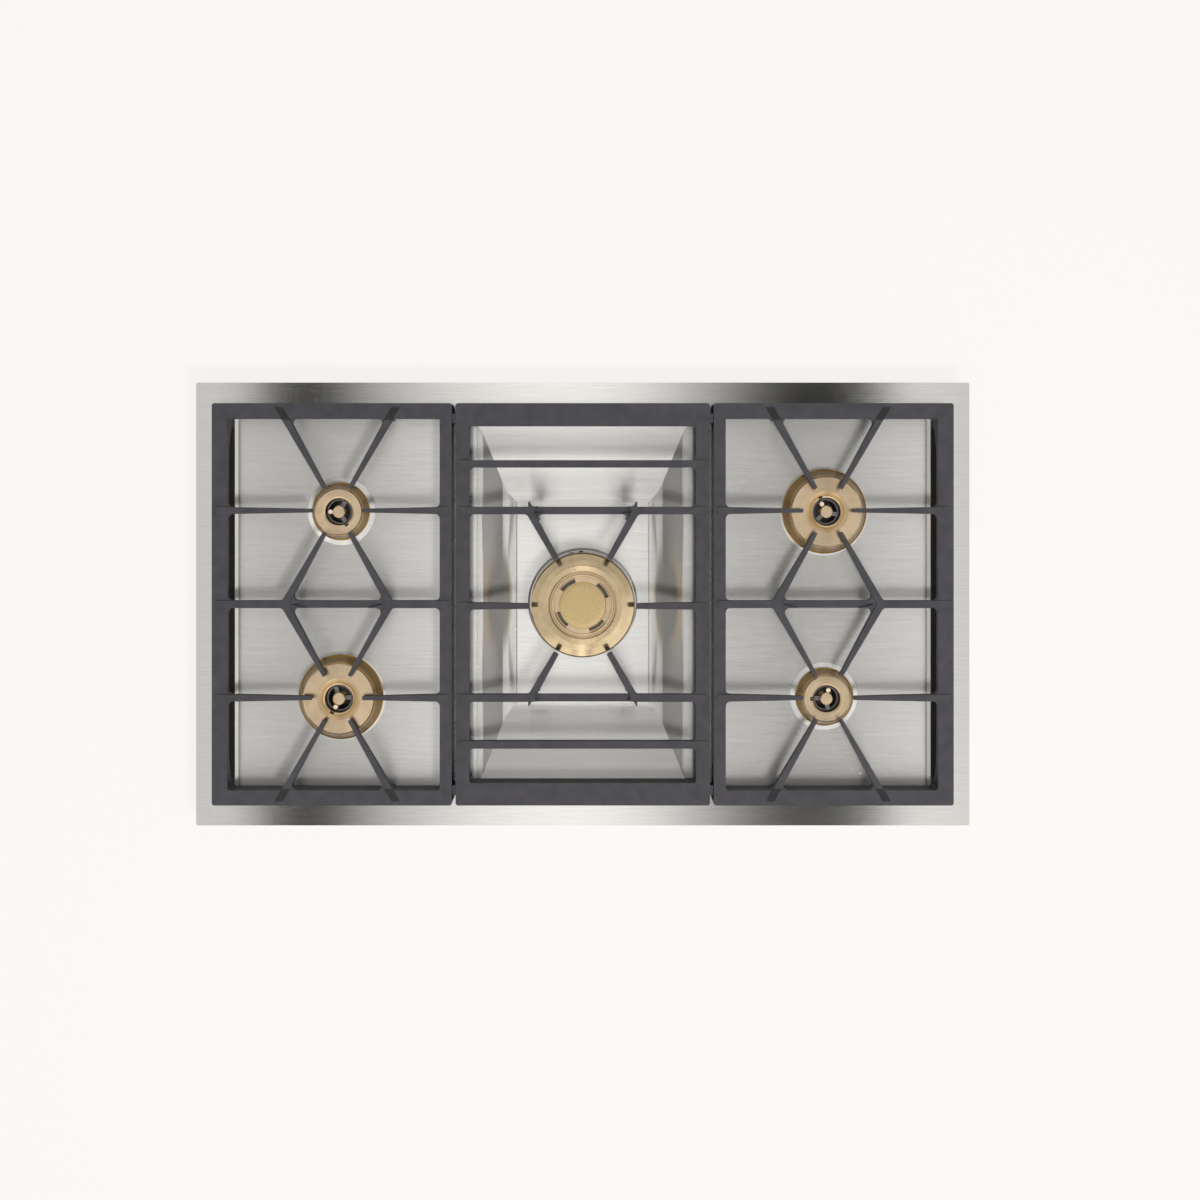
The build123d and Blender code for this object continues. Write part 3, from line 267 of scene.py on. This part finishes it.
def turnedBrass(name, low, high, cut):
    # brass turned on a lathe: rings round its own axis that fan the highlights out
    darkTone, lightTone, roughness, anisotropy, crown = cut
    centre = (low + high) / 2
    material, tree, shader, place = startMaterial(name, metallic=1.0)
    own = addNode(tree, "ShaderNodeVectorMath", {"operation": "SUBTRACT"}, {1: (centre.x, centre.y, 0.0)},
                  {0: place})
    flat = addNode(tree, "ShaderNodeVectorMath", {"operation": "MULTIPLY"}, {1: (1.0, 1.0, 0.0)},
                   {0: own.outputs["Vector"]})
    radius = addNode(tree, "ShaderNodeVectorMath", {"operation": "LENGTH"}, links={0: flat.outputs["Vector"]})
    split = addNode(tree, "ShaderNodeSeparateXYZ", links={"Vector": place})
    along = addNode(tree, "ShaderNodeCombineXYZ",
                    links={"X": radius.outputs["Value"], "Z": split.outputs["Z"]})
    rings = addNode(tree, "ShaderNodeTexNoise",
                    sockets={"Scale": 1000 / brass["ringMm"], "Detail": 3.0, "Roughness": 0.6},
                    links={"Vector": along.outputs["Vector"]})
    cloud = addNode(tree, "ShaderNodeTexNoise", sockets={"Scale": brass["cloudPerMetre"], "Detail": 2.0},
                    links={"Vector": place})
    both = addNode(tree, "ShaderNodeMath", {"operation": "ADD"},
                   links={0: rings.outputs["Fac"], 1: cloud.outputs["Fac"]})
    faint, strong = brass["contrast"]
    contrast = addNode(tree, "ShaderNodeMapRange", sockets={"From Min": faint, "From Max": strong},
                       links={"Value": both.outputs["Value"]})
    tone = addNode(tree, "ShaderNodeMix", {"data_type": "RGBA"},
                   {6: toLinear(darkTone), 7: toLinear(lightTone)},
                   {"Factor": contrast.outputs["Result"]})
    # height up the flank to the top face, which the painted brown bands of shade and reflection follow
    span = brass["flankSpanMm"]
    top = addNode(tree, "ShaderNodeMapRange",
                  sockets={"From Min": high.z - span / 1000, "From Max": high.z},
                  links={"Value": split.outputs["Z"]})
    # painted shade and painted reflection: brown bands darken the burner heads' flanks, the top face stays
    # plain
    flankShade = addNode(tree, "ShaderNodeValToRGB", links={"Fac": top.outputs["Result"]})
    fillRamp(flankShade.color_ramp, [(mm / span, toLinear(colour)) for mm, colour in brass["flankMm"]])
    flankShaded = addNode(tree, "ShaderNodeMix", {"data_type": "RGBA", "blend_type": "MULTIPLY"},
                     {"Factor": 1.0 if "burner_head" in name else 0.0},
                     {6: tone.outputs[2], 7: flankShade.outputs["Color"]})
    spread = brass["roughnessSpread"]
    rough = addNode(tree, "ShaderNodeMapRange",
                    sockets={"To Min": roughness - spread, "To Max": roughness + spread},
                    links={"Value": rings.outputs["Fac"]})
    # the top face falls away very slightly to its outer edge
    outwards = addNode(tree, "ShaderNodeVectorMath", {"operation": "NORMALIZE"},
                       links={0: flat.outputs["Vector"]})
    crowned = addNode(tree, "ShaderNodeVectorMath", {"operation": "MULTIPLY_ADD"},
                      {1: (crown, crown, 0.0)}, {0: outwards.outputs["Vector"]})
    tree.links.new(addNode(tree, "ShaderNodeNewGeometry").outputs["Normal"], crowned.inputs[2])
    bump = addNode(tree, "ShaderNodeBump",
                   sockets={"Strength": brass["bump"], "Distance": brass["bumpMm"] / 1000},
                   links={"Height": rings.outputs["Fac"], "Normal": crowned.outputs["Vector"]})
    shader.inputs["Anisotropic"].default_value = anisotropy
    tree.links.new(flankShaded.outputs[2], shader.inputs["Base Color"])
    tree.links.new(rough.outputs["Result"], shader.inputs["Roughness"])
    tree.links.new(bump.outputs["Normal"], shader.inputs["Normal"])
    tree.links.new(flat.outputs["Vector"], shader.inputs["Tangent"])
    return material


# finishes with an even grain and no direction: tones, roughness, size of the grain, depth of the grain
grainy = {
    "blastedBrass": {"dark": "#dcc088", "light": "#f2d9a2", "roughness": 0.42, "grainMm": 1.2, "depth": 0.3,
                     "metallic": 1.0},       # glass-blasted cap: duller and yellower than the turned rings
    "castAluminium": {"dark": "#7a7775", "light": "#a3a09d", "roughness": 0.5, "grainMm": 1.5, "depth": 0.3,
                      "metallic": 1.0},      # as cast: grey, softly mottled
    "drawnSteel": {"dark": "#8b8784", "light": "#a39f9b", "roughness": 0.38, "grainMm": 1.5, "depth": 0.1,
                   "metallic": 1.0},         # probe sheath: plain drawn tube
    "machinedBrass": {"dark": "#b89a5e", "light": "#ccb077", "roughness": 0.35, "grainMm": 2.0, "depth": 0.1,
                      "metallic": 1.0},      # jets and union nuts: bright from the lathe
    "drawnAluminium": {"dark": "#b9babb", "light": "#cbccce", "roughness": 0.34, "grainMm": 6.0, "depth": 0.06,
                       "metallic": 1.0},     # pipes: smooth and pale
    "zincPlate": {"dark": "#9fa3a6", "light": "#b9bdc0", "roughness": 0.38, "grainMm": 3.0, "depth": 0.1,
                  "metallic": 1.0},          # fixings: bluish and slightly cloudy
    "galvanisedSheet": {"dark": "#8f9598", "light": "#a9afb2", "roughness": 0.46, "grainMm": 16.0,
                        "depth": 0.04, "metallic": 1.0},     # tray: large faint spangle
    "glazedCeramic": {"dark": "#b39f8a", "light": "#c2ae98", "roughness": 0.25, "grainMm": 4.0,
                      "depth": 0.02, "metallic": 0.0},       # spark insulator: glaze tanned by the flame
    "closedCellFoam": {"dark": "#161616", "light": "#232323", "roughness": 0.9, "grainMm": 1.0, "depth": 0.4,
                       "metallic": 0.0},     # strip under the rim: dull and open
    "siliconeRubber": {"dark": "#1a1a1a", "light": "#242424", "roughness": 0.6, "grainMm": 1.2, "depth": 0.2,
                       "metallic": 0.0},     # feet: soft black
    "greyNylon": {"dark": "#565a5c", "light": "#606466", "roughness": 0.5, "grainMm": 0.8, "depth": 0.15,
                  "metallic": 0.0},          # generator case: fine moulded texture
    "blackNylon": {"dark": "#1b1b1c", "light": "#242425", "roughness": 0.5, "grainMm": 0.8, "depth": 0.15,
                   "metallic": 0.0},         # gland: fine moulded texture
}
grainShape = {"contrast": (0.35, 0.65), "roughnessSpread": 0.08, "bumpMm": 0.3}


def grainyFinish(name):
    look = grainy[name]
    material, tree, shader, place = startMaterial(name, metallic=look["metallic"])
    grain = addNode(tree, "ShaderNodeTexNoise",
                    sockets={"Scale": 1000 / look["grainMm"], "Detail": 3.0, "Roughness": 0.6},
                    links={"Vector": place})
    faint, strong = grainShape["contrast"]
    contrast = addNode(tree, "ShaderNodeMapRange", sockets={"From Min": faint, "From Max": strong},
                       links={"Value": grain.outputs["Fac"]})
    tone = addNode(tree, "ShaderNodeMix", {"data_type": "RGBA"},
                   {6: toLinear(look["dark"]), 7: toLinear(look["light"])},
                   {"Factor": contrast.outputs["Result"]})
    spread = grainShape["roughnessSpread"]
    rough = addNode(tree, "ShaderNodeMapRange",
                    sockets={"To Min": look["roughness"] - spread, "To Max": look["roughness"] + spread},
                    links={"Value": grain.outputs["Fac"]})
    bump = addNode(tree, "ShaderNodeBump",
                   sockets={"Strength": look["depth"], "Distance": grainShape["bumpMm"] / 1000},
                   links={"Height": grain.outputs["Fac"]})
    tree.links.new(tone.outputs[2], shader.inputs["Base Color"])
    tree.links.new(rough.outputs["Result"], shader.inputs["Roughness"])
    tree.links.new(bump.outputs["Normal"], shader.inputs["Normal"])
    return material


stainless = brushedStainless()
iron = enamelledCastIron()
finish = {name: grainyFinish(name) for name in grainy}
print("materials ready:", len(bpy.data.materials))


# which finish each node has, by its name or how its name starts
dressing = {
    "top_plate": stainless,
    "rim_seal": finish["closedCellFoam"],
    "lower_tray": finish["galvanisedSheet"],
    "clamp_brackets": finish["galvanisedSheet"],
    "spark_module": finish["greyNylon"],
    "mains_gland": finish["blackNylon"],
    "union_nuts": finish["machinedBrass"],
    "gas_jet": finish["machinedBrass"],
    "feed_pipe": finish["drawnAluminium"],
    "wok_centre_cap": finish["blastedBrass"],
    "wok_cup": finish["castAluminium"],
    "burner_cup": finish["castAluminium"],
    "pan_support": iron,
    "leg_pads": finish["siliconeRubber"],
    "spark_electrode": finish["glazedCeramic"],
    "flame_probe": finish["drawnSteel"],
}
for name, node in nodes.items():
    low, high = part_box(name)
    material = finish["zincPlate"]
    for start, choice in dressing.items():
        if name.startswith(start):
            material = choice
    for start, cut in latheCut.items():
        if name.startswith(start):
            material = turnedBrass("turnedBrass." + name, low, high, cut)
    dress(node, material)
print("nodes dressed")


# the supports' cast edges are round, and so are the corners between their ribs and bars (metres)
castEdges = {
    "pieces": ("pan_support_left", "pan_support_centre", "pan_support_right"),
    "radius": 0.0012,
    "segments": 3,
    "flatDegrees": 0.6,      # facets nearer to one plane than this become one face
    "sharpDegrees": 28,      # edges sharper than this are rounded
    "hollowDegrees": 25,     # and inner ones sharper than this are rib roots
    "upright": 0.9999,
    "rootTop": 0.0425,       # a root reaches at least this high
    "rootDegrees": (45, 150),
    "rootRadius": 0.0055,
    "rootDepth": 0.013,
    "rootSink": 0.00003,
    "rootHold": 0.002,
    "rootSteps": 6,
    "rootWeight": 0.6,       # the web's rim is rounded by this share of the radius
}
# the plate's folds: radius by height, for edges outside the burners (metres)
plateFolds = {
    "radius": {-0.002: 0.0009, 0.004: 0.003},
    "outsideX": 0.385,
    "outsideY": 0.190,
    "segments": 4,
    "sharpDegrees": 20,
    "levelGap": 1e-5,
    "heightGap": 5e-5,
    "sameSpot": 2e-6,
    "ownNormal": 0.9,        # a kept normal is used where it lies this near the face's own
    "blendNormal": 0.85,     # and a new one averages the faces this near
}
mergeDistance = 1e-6


def mergedCopy(name):
    work = bmesh.new()
    work.from_mesh(nodes[name].data)
    bmesh.ops.remove_doubles(work, verts=work.verts, dist=mergeDistance)
    return work


def takePlace(name, work, start):
    # the worked mesh stands in for its node
    for face in work.faces:
        face.smooth = True
    mesh = bpy.data.meshes.new(start + name)
    work.to_mesh(mesh)
    work.free()
    piece = bpy.data.objects.new(start + name, mesh)
    scene.collection.objects.link(piece)
    dress(piece, nodes[name].data.materials[0])
    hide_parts(name)
    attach(piece, next(body for body, held in frame["record"]["behaviour"]["bodies"].items() if name in held))
    return piece


def rootCorners(work):
    # upright inner corners between ribs and bars: place, and the ways the two walls run from it
    corners = []
    narrow, wide = (math.radians(degrees) for degrees in castEdges["rootDegrees"])
    for edge in work.edges:
        low, high = sorted(edge.verts, key=lambda vert: vert.co.z)
        lean = (high.co - low.co).normalized()
        if lean.z < castEdges["upright"] or high.co.z < castEdges["rootTop"] or len(edge.link_faces) != 2:
            continue
        if edge.calc_face_angle_signed() > -math.radians(castEdges["hollowDegrees"]):
            continue
        ways = []
        for loop in edge.link_loops:
            along = loop.link_loop_next.vert.co - loop.vert.co
            ways.append(loop.face.normal.cross(along).normalized())
        if narrow < ways[0].angle(ways[1]) < wide:
            corners.append((high.co.copy(), ways))
    return corners


def fillRoot(work, weight, corner, ways):
    # a web with a hollow round face, set a little into both walls so that no seam shows
    half = ways[0].angle(ways[1]) / 2
    radius = castEdges["rootRadius"]
    reach = radius / math.tan(half)
    middle = (ways[0] + ways[1]).normalized()
    centre = corner + middle * radius / math.sin(half)
    hold = castEdges["rootHold"]
    outline = [corner - middle * hold / math.sin(half)]
    inward = [way.cross(Vector((0, 0, 1))) for way in ways]
    inward = [side if side.dot(middle) < 0 else -side for side in inward]
    steps = castEdges["rootSteps"]
    first = corner + ways[0] * reach
    last = corner + ways[1] * reach
    arc = []
    for step in range(steps + 1):
        ray = (first - centre).slerp(last - centre, step / steps)
        arc.append(centre + ray.normalized() * radius)
    outline += [first + inward[0] * hold] + arc + [last + inward[1] * hold]
    lift = Vector((0, 0, -castEdges["rootSink"]))
    top = [work.verts.new(point + lift) for point in outline]
    foot = [work.verts.new(point - Vector((0, 0, castEdges["rootDepth"]))) for point in outline]
    turned = (first - corner).cross(last - corner).z > 0
    work.faces.new(top if turned else top[::-1])
    work.faces.new(foot[::-1] if turned else foot)
    for index in range(len(outline)):
        after = (index + 1) % len(outline)
        loop = [top[index], foot[index], foot[after], top[after]]
        work.faces.new(loop if turned else loop[::-1])
    for index in range(2, 2 + steps):
        rim = work.edges.get((top[index], top[index + 1]))
        rim[weight] = castEdges["rootWeight"]


def roundCasting(name):
    work = mergedCopy(name)
    bmesh.ops.dissolve_limit(work, angle_limit=math.radians(castEdges["flatDegrees"]), verts=work.verts,
                             edges=work.edges, delimit=set())
    weight = work.edges.layers.float.new("bevel_weight_edge")
    limit = math.radians(castEdges["sharpDegrees"])
    for edge in work.edges:
        sharp = len(edge.link_faces) == 2 and edge.calc_face_angle() > limit
        if sharp:
            edge[weight] = 1.0
        edge.smooth = not sharp
    corners = rootCorners(work)
    for corner, ways in corners:
        fillRoot(work, weight, corner, ways)
    print("  rounded", name, len(corners), "rib roots")
    piece = takePlace(name, work, "rounded.")
    bevel = piece.modifiers.new("edges", "BEVEL")
    bevel.width = castEdges["radius"]
    bevel.segments = castEdges["segments"]
    bevel.limit_method = "WEIGHT"
    bevel.harden_normals = True


def foldPlate(name):
    # the pressed folds turn over a radius, and every other face keeps its own normals
    source = nodes[name].data
    tree = KDTree(len(source.vertices))
    for vert in source.vertices:
        tree.insert(vert.co, vert.index)
    tree.balance()
    kept = [[] for vert in source.vertices]
    for loop in source.loops:
        kept[loop.vertex_index].append(source.corner_normals[loop.index].vector.copy())
    work = mergedCopy(name)
    limit = math.radians(plateFolds["sharpDegrees"])
    for height, radius in plateFolds["radius"].items():
        folds = []
        for edge in work.edges:
            start, end = (vert.co for vert in edge.verts)
            middle = (start + end) / 2
            level = abs(start.z - end.z) < plateFolds["levelGap"]
            placed = abs(middle.z - height) < plateFolds["heightGap"]
            outside = abs(middle.x) > plateFolds["outsideX"] or abs(middle.y) > plateFolds["outsideY"]
            if level and placed and outside and len(edge.link_faces) == 2 and edge.calc_face_angle() > limit:
                folds.append(edge)
        bmesh.ops.bevel(work, geom=folds, offset=radius, segments=plateFolds["segments"], profile=0.5,
                        affect="EDGES", clamp_overlap=True)
        print("  folded", len(folds), "edges at", height)
    piece = takePlace(name, work, "folded.")
    mesh = piece.data
    around = [[] for vert in mesh.vertices]
    for face in mesh.polygons:
        for index in face.vertices:
            around[index].append(face)
    normals = []
    for face in mesh.polygons:
        for index in face.vertices:
            near = tree.find_range(mesh.vertices[index].co, plateFolds["sameSpot"])
            found = [normal for spot, own, gap in near for normal in kept[own]
                     if normal.dot(face.normal) > plateFolds["ownNormal"]]
            if found:
                normals.append(max(found, key=lambda normal: normal.dot(face.normal)))
                continue
            blend = Vector()
            for other in around[index]:
                if other.normal.dot(face.normal) > plateFolds["blendNormal"]:
                    blend += other.normal * other.area
            normals.append(blend.normalized())
    mesh.normals_split_custom_set(normals)


for name in castEdges["pieces"]:
    roundCasting(name)
foldPlate("top_plate")
print("edges rounded")


# floor, light and camera
studio = {
    "floorLevel": cadBox[0].z,
    "floorColour": "#f8f4f1",
    "floorShadow": 0.05,
    "floorSize": 6.0,
    "floorDrop": 0.0005,
    "keyPlace": (0.51, -0.75, 2.85),
    "keySize": 0.42,
    "keyWatts": 120.0,
    "cameraPlace": (0.0, 0.148, 2.504),
    "lens": 63.87,
    "sensor": 36.0,
    "clip": (0.05, 50.0),
    "shift": (0.0144, -0.1017),
}


def makeFloor():
    # a pale ground that the camera sees as near white, and that still takes the shadow
    mesh = bpy.data.meshes.new("floor")
    sheet = bmesh.new()
    bmesh.ops.create_grid(sheet, x_segments=1, y_segments=1, size=studio["floorSize"])
    bmesh.ops.translate(sheet, verts=sheet.verts, vec=(0, 0, studio["floorLevel"] - studio["floorDrop"]))
    sheet.to_mesh(mesh)
    sheet.free()
    floor = bpy.data.objects.new("floor", mesh)
    scene.collection.objects.link(floor)
    material = bpy.data.materials.new("paleStudioFloor")
    material.use_nodes = True
    tree = material.node_tree
    tree.nodes.clear()
    colour = toLinear(studio["floorColour"])
    matt = addNode(tree, "ShaderNodeBsdfDiffuse", sockets={"Color": colour})
    glow = addNode(tree, "ShaderNodeEmission", sockets={"Color": colour, "Strength": 1.0})
    path = addNode(tree, "ShaderNodeLightPath")
    seen = addNode(tree, "ShaderNodeMath", {"operation": "MAXIMUM"},
                   links={0: path.outputs["Is Camera Ray"], 1: path.outputs["Is Glossy Ray"]})
    share = addNode(tree, "ShaderNodeMath", {"operation": "MULTIPLY"}, {1: 1 - studio["floorShadow"]},
                    {0: seen.outputs["Value"]})
    mix = addNode(tree, "ShaderNodeMixShader",
                  links={0: share.outputs["Value"], 1: matt.outputs["BSDF"], 2: glow.outputs["Emission"]})
    addNode(tree, "ShaderNodeOutputMaterial", links={"Surface": mix.outputs["Shader"]})
    dress(floor, material)


# the studio overhead: strips of light and shade that run front to back, as (tangent of the angle
# across, brightness); how both sides fall off low down; and the white card low at the front left
sky = {
    "reach": 0.3,
    "strips": [(-0.30, 0.60), (-0.22, 0.80), (-0.180, 0.70), (-0.165, 0.86), (-0.156, 0.60),
               (-0.146, 0.06), (-0.120, 0.01), (-0.110, 0.26), (-0.095, 0.54), (-0.0764, 0.75),
               (-0.0576, 0.93), (-0.03, 1.12), (0.0, 1.18), (0.03, 0.96), (0.0438, 0.72), (0.0626, 0.42),
               (0.0814, 0.15), (0.095, 0.01), (0.130, 0.01), (0.139, 0.30), (0.149, 0.86), (0.160, 0.92),
               (0.180, 0.72), (0.22, 0.80), (0.30, 0.60)],
    "lowest": 0.05,
    "rearSpan": (0.12, 0.34),
    "rearLight": 0.47,
    "farSpan": (1.0, 2.0),
    "farLight": 0.85,
    "frontSpan": (0.16, 0.42),
    "frontSlant": 0.5,
    "frontLight": 0.35,
    "sideFall": (1.9, 2.7, 0.10),
    "cardWay": (-0.72, -0.69, 0.0),
    "cardLight": 1.2,
    "cardSpan": (0.35, 0.75),
    "cardHeight": (0.34, 0.22),
    "strength": 1.0,
}


def makeSky():
    world = bpy.data.worlds.new("studioTent")
    scene.world = world
    world.use_nodes = True
    tree = world.node_tree
    tree.nodes.clear()
    way = addNode(tree, "ShaderNodeTexCoord")
    split = addNode(tree, "ShaderNodeSeparateXYZ", links={"Vector": way.outputs["Generated"]})
    height = addNode(tree, "ShaderNodeMath", {"operation": "MAXIMUM"}, {1: sky["lowest"]},
                     {0: split.outputs["Z"]})
    across = addNode(tree, "ShaderNodeMath", {"operation": "DIVIDE"},
                     links={0: split.outputs["X"], 1: height.outputs["Value"]})
    reach = sky["reach"]
    spread = addNode(tree, "ShaderNodeMapRange", sockets={"From Min": -reach, "From Max": reach},
                     links={"Value": across.outputs["Value"]})
    bands = addNode(tree, "ShaderNodeValToRGB", links={"Fac": spread.outputs["Result"]})
    fillRamp(bands.color_ramp, greyStops(sky["strips"], -reach, reach))
    # to the rear the strips end in an even grey, and the front right is lit on top of them
    along = addNode(tree, "ShaderNodeMath", {"operation": "DIVIDE"},
                    links={0: split.outputs["Y"], 1: height.outputs["Value"]})
    start, end = sky["rearSpan"]
    behind = addNode(tree, "ShaderNodeMapRange", {"interpolation_type": "SMOOTHSTEP"},
                     {"From Min": start, "From Max": end}, {"Value": along.outputs["Value"]})
    start, end = sky["farSpan"]
    beyond = addNode(tree, "ShaderNodeMapRange", {"interpolation_type": "SMOOTHSTEP"},
                     {"From Min": start, "From Max": end, "To Min": sky["rearLight"],
                      "To Max": sky["farLight"]},
                     {"Value": along.outputs["Value"]})
    striped = addNode(tree, "ShaderNodeMix", {"data_type": "RGBA"},
                      links={"Factor": behind.outputs["Result"], 6: bands.outputs["Color"],
                             7: beyond.outputs["Result"]})
    slant = addNode(tree, "ShaderNodeMath", {"operation": "MULTIPLY_ADD"}, {1: sky["frontSlant"]},
                    {0: across.outputs["Value"]})
    ahead = addNode(tree, "ShaderNodeMath", {"operation": "MULTIPLY"}, {1: -1.0},
                    {0: along.outputs["Value"]})
    tree.links.new(ahead.outputs["Value"], slant.inputs[2])
    start, end = sky["frontSpan"]
    frontGain = addNode(tree, "ShaderNodeMapRange", {"interpolation_type": "SMOOTHSTEP"},
                        {"From Min": start, "From Max": end, "To Max": sky["frontLight"]},
                        {"Value": slant.outputs["Value"]})
    lit = addNode(tree, "ShaderNodeMix", {"data_type": "RGBA", "blend_type": "ADD"}, {"Factor": 1.0},
                  {6: striped.outputs[2], 7: frontGain.outputs["Result"]})
    sideways = addNode(tree, "ShaderNodeMath", {"operation": "ABSOLUTE"}, links={0: across.outputs["Value"]})
    start, end, least = sky["sideFall"]
    fall = addNode(tree, "ShaderNodeMapRange", {"interpolation_type": "SMOOTHSTEP"},
                   {"From Min": start, "From Max": end, "To Min": 1.0, "To Max": least},
                   {"Value": sideways.outputs["Value"]})
    tent = addNode(tree, "ShaderNodeMix", {"data_type": "RGBA", "blend_type": "MULTIPLY"}, {"Factor": 1.0},
                   {6: lit.outputs[2], 7: fall.outputs["Result"]})
    facing = addNode(tree, "ShaderNodeVectorMath", {"operation": "DOT_PRODUCT"}, {1: sky["cardWay"]},
                     {0: way.outputs["Generated"]})
    start, end = sky["cardSpan"]
    near = addNode(tree, "ShaderNodeMapRange", {"interpolation_type": "SMOOTHSTEP"},
                   {"From Min": start, "From Max": end}, {"Value": facing.outputs["Value"]})
    start, end = sky["cardHeight"]
    low = addNode(tree, "ShaderNodeMapRange", {"interpolation_type": "SMOOTHSTEP"},
                  {"From Min": start, "From Max": end}, {"Value": split.outputs["Z"]})
    card = addNode(tree, "ShaderNodeMath", {"operation": "MULTIPLY"},
                   links={0: near.outputs["Result"], 1: low.outputs["Result"]})
    white = (sky["cardLight"], sky["cardLight"], sky["cardLight"], 1.0)
    light = addNode(tree, "ShaderNodeMix", {"data_type": "RGBA"}, {7: white},
                    {"Factor": card.outputs["Value"], 6: tent.outputs[2]})
    lamp = addNode(tree, "ShaderNodeBackground", sockets={"Strength": sky["strength"]},
                   links={"Color": light.outputs[2]})
    addNode(tree, "ShaderNodeOutputWorld", links={"Surface": lamp.outputs["Background"]})


def makeKey():
    # broad soft lamp from the front right, the one that draws the ribs' soft shadows; the tent alone
    # is seen in the metal
    data = bpy.data.lights.new("keyLamp", "AREA")
    data.shape = "SQUARE"
    data.size = studio["keySize"]
    data.energy = studio["keyWatts"]
    lamp = bpy.data.objects.new("keyLamp", data)
    lamp.location = studio["keyPlace"]
    lamp.rotation_euler = Vector(studio["keyPlace"]).to_track_quat("Z", "Y").to_euler()
    lamp.visible_glossy = False
    scene.collection.objects.link(lamp)


def makeCamera():
    # straight overhead, behind the middle, as the photograph's perspective shows
    data = bpy.data.cameras.new("camera")
    data.lens = studio["lens"]
    data.sensor_width = studio["sensor"]
    data.shift_x, data.shift_y = studio["shift"]
    data.clip_start, data.clip_end = studio["clip"]
    camera = bpy.data.objects.new("camera", data)
    camera.location = studio["cameraPlace"]
    scene.collection.objects.link(camera)
    scene.camera = camera


makeFloor()
makeSky()
makeKey()
makeCamera()
scene.view_settings.view_transform = "Standard"
print("stage, light and camera ready")
